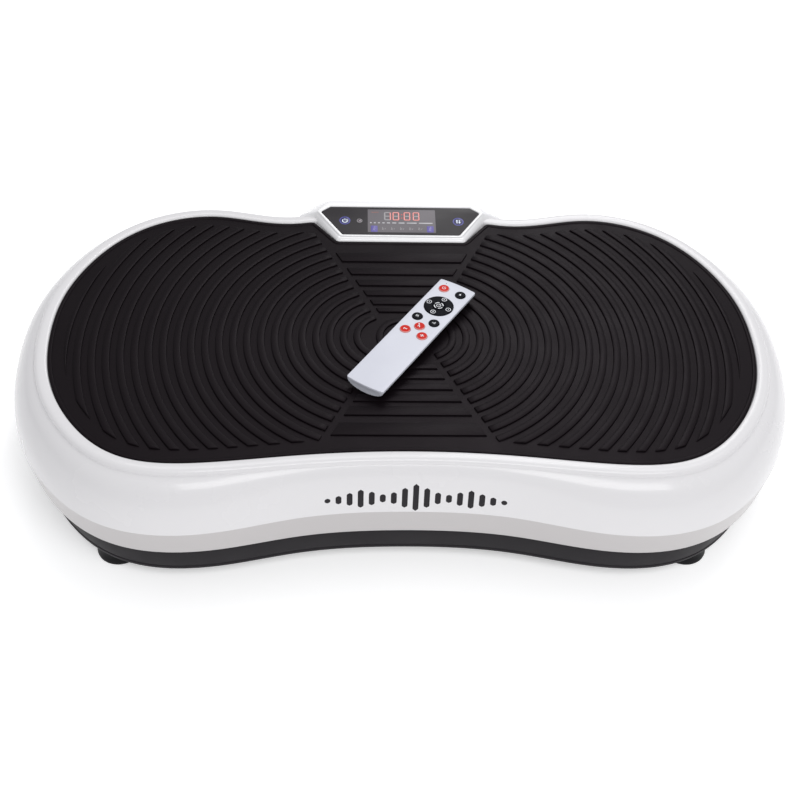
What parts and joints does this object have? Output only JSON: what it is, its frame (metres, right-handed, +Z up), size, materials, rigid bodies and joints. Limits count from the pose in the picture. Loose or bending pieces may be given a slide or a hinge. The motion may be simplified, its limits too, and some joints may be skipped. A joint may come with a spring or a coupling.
{
  "type": "vibration plate",
  "caption": "Low oscillating exercise platform with a waisted white shell, ribbed mat, small console and handheld remote, rocking on a dark base with rubber feet.",
  "frame": {"origin": "on the floor, at the middle of the platform's plan", "axes": "+X along the platform to the user's right, +Y towards the console, +Z up"},
  "size_m": [0.7272, 0.4147, 0.1464],
  "materials": {
    "shell_white": "high-gloss white moulding",
    "mat_rubber": "matt ribbed rubber",
    "base_plastic": "fine-textured charcoal plastic",
    "foot_rubber": "matt black rubber",
    "frame_steel": "satin grey powder coat",
    "bright_steel": "ground steel",
    "zinc_screw": "bright zinc plate",
    "motor_black": "satin black lacquer",
    "cast_block": "machined grey casting",
    "pulley_alloy": "turned aluminium",
    "bronze": "sintered bronze",
    "circuit_green": "solder-masked laminate",
    "copper_winding": "varnished copper winding",
    "capacitor_blue": "blue sleeve",
    "inlet_black": "satin black plastic",
    "console_black": "polished black acrylic",
    "display_smoke": "smoked grey window",
    "digit_red": "lit red segments",
    "icon_blue": "back-lit blue touch key",
    "ir_smoke": "smoked window",
    "rocker_red": "translucent red rocker",
    "remote_white": "satin white plastic",
    "cell_steel": "pressed steel can",
    "key_red": "silicone rubber",
    "key_black": "silicone rubber",
    "led_dark": "clear tinted lens",
    "belt_rubber": "ribbed drive belt"
  },
  "bodies": {
    "base": {"base_tray": "base_plastic", "chassis_plate": "frame_steel", "foot_front_left": "foot_rubber", "foot_front_right": "foot_rubber", "foot_rear_left": "foot_rubber", "foot_rear_right": "foot_rubber", "foot_screws": "zinc_screw", "pivot_stand_front": "frame_steel", "pivot_stand_rear": "frame_steel", "pivot_shaft": "bright_steel", "motor_case": "motor_black", "motor_end_cap": "inlet_black", "motor_mount": "frame_steel", "bearing_block_front": "cast_block", "bearing_block_rear": "cast_block", "shaft_bearings": "bright_steel", "deck_buffers": "foot_rubber", "control_board": "circuit_green", "transformer": "copper_winding", "capacitors": "capacitor_blue", "mains_inlet": "inlet_black", "inlet_pins": "bright_steel", "switch_frame": "inlet_black", "chassis_screws": "zinc_screw", "drive_belt": "belt_rubber"},
    "deck": {"upper_shell": "shell_white", "mat": "mat_rubber", "swing_frame": "frame_steel", "pivot_bushes": "bronze", "frame_screws": "zinc_screw", "wrist_pin": "bright_steel", "console_panel": "console_black", "display_window": "display_smoke", "display_board": "circuit_green", "display_digits": "digit_red", "touch_icons": "icon_blue", "ir_window": "ir_smoke"},
    "motor_rotor": {"motor_shaft": "bright_steel", "motor_pulley": "pulley_alloy"},
    "crank": {"eccentric_shaft": "bright_steel", "driven_pulley": "pulley_alloy"},
    "link": {"link_rod": "pulley_alloy", "link_bearing": "bright_steel"},
    "switch_rocker": {"power_rocker": "rocker_red"},
    "remote": {"remote_bottom": "remote_white", "remote_top": "remote_white", "remote_board": "circuit_green", "remote_cell": "cell_steel", "remote_led": "led_dark"},
    "battery_cover": {"remote_battery_cover": "remote_white"},
    "key_power_cap": {"key_power": "key_red"},
    "key_mute_cap": {"key_mute": "key_black"},
    "key_ring_cap": {"key_ring": "key_black"},
    "key_ok_cap": {"key_ok": "key_black"},
    "key_f_cap": {"key_f": "key_black"},
    "key_m_cap": {"key_m": "key_black"},
    "key_start_cap": {"key_start": "key_red"},
    "key_minus_cap": {"key_minus": "key_red"},
    "key_plus_cap": {"key_plus": "key_red"}
  },
  "joints": [
    {"name": "deck_rock", "type": "hinge", "parent": "base", "child": "deck", "pos_m": [0, 0, 0.092], "axis": [0, 1, 0], "range_deg": [-0.75, 0.75]},
    {"name": "crank_spin", "type": "hinge", "parent": "base", "child": "crank", "pos_m": [0.15, 0, 0.058], "axis": [0, 1, 0], "continuous": true},
    {"name": "motor_spin", "type": "hinge", "parent": "base", "child": "motor_rotor", "pos_m": [0.046, 0, 0.058], "axis": [0, 1, 0], "continuous": true},
    {"name": "link_turn", "type": "hinge", "parent": "crank", "child": "link", "pos_m": [0.152, 0, 0.058], "axis": [0, 1, 0], "continuous": true},
    {"name": "switch_rock", "type": "hinge", "parent": "base", "child": "switch_rocker", "pos_m": [-0.004, 0.182, 0.038], "axis": [0, 0, 1], "range_deg": [-18, 0]},
    {"name": "remote_lift", "type": "slide", "parent": "deck", "child": "remote", "axis": [0, 0, 1], "range_m": [0, 0.15]},
    {"name": "battery_cover_slide", "type": "slide", "parent": "remote", "child": "battery_cover", "axis": [-0.5519, -0.8339, 0], "range_m": [0, 0.03]},
    {"name": "key_power_press", "type": "slide", "parent": "remote", "child": "key_power_cap", "axis": [0, 0, -1], "range_m": [0, 0.0008], "stiffness_N_per_m": 900, "springref_m": -0.0004},
    {"name": "key_mute_press", "type": "slide", "parent": "remote", "child": "key_mute_cap", "axis": [0, 0, -1], "range_m": [0, 0.0008], "stiffness_N_per_m": 900, "springref_m": -0.0004},
    {"name": "key_ring_press", "type": "slide", "parent": "remote", "child": "key_ring_cap", "axis": [0, 0, -1], "range_m": [0, 0.0008], "stiffness_N_per_m": 900, "springref_m": -0.0004},
    {"name": "key_ok_press", "type": "slide", "parent": "remote", "child": "key_ok_cap", "axis": [0, 0, -1], "range_m": [0, 0.0008], "stiffness_N_per_m": 900, "springref_m": -0.0004},
    {"name": "key_f_press", "type": "slide", "parent": "remote", "child": "key_f_cap", "axis": [0, 0, -1], "range_m": [0, 0.0008], "stiffness_N_per_m": 900, "springref_m": -0.0004},
    {"name": "key_m_press", "type": "slide", "parent": "remote", "child": "key_m_cap", "axis": [0, 0, -1], "range_m": [0, 0.0008], "stiffness_N_per_m": 900, "springref_m": -0.0004},
    {"name": "key_start_press", "type": "slide", "parent": "remote", "child": "key_start_cap", "axis": [0, 0, -1], "range_m": [0, 0.0008], "stiffness_N_per_m": 900, "springref_m": -0.0004},
    {"name": "key_minus_press", "type": "slide", "parent": "remote", "child": "key_minus_cap", "axis": [0, 0, -1], "range_m": [0, 0.0008], "stiffness_N_per_m": 900, "springref_m": -0.0004},
    {"name": "key_plus_press", "type": "slide", "parent": "remote", "child": "key_plus_cap", "axis": [0, 0, -1], "range_m": [0, 0.0008], "stiffness_N_per_m": 900, "springref_m": -0.0004}
  ],
  "couplings": [
    {"joint": "motor_spin", "follows": "crank_spin", "ratio": 2},
    {"joint": "link_turn", "follows": "crank_spin", "ratio": -1}
  ]
}
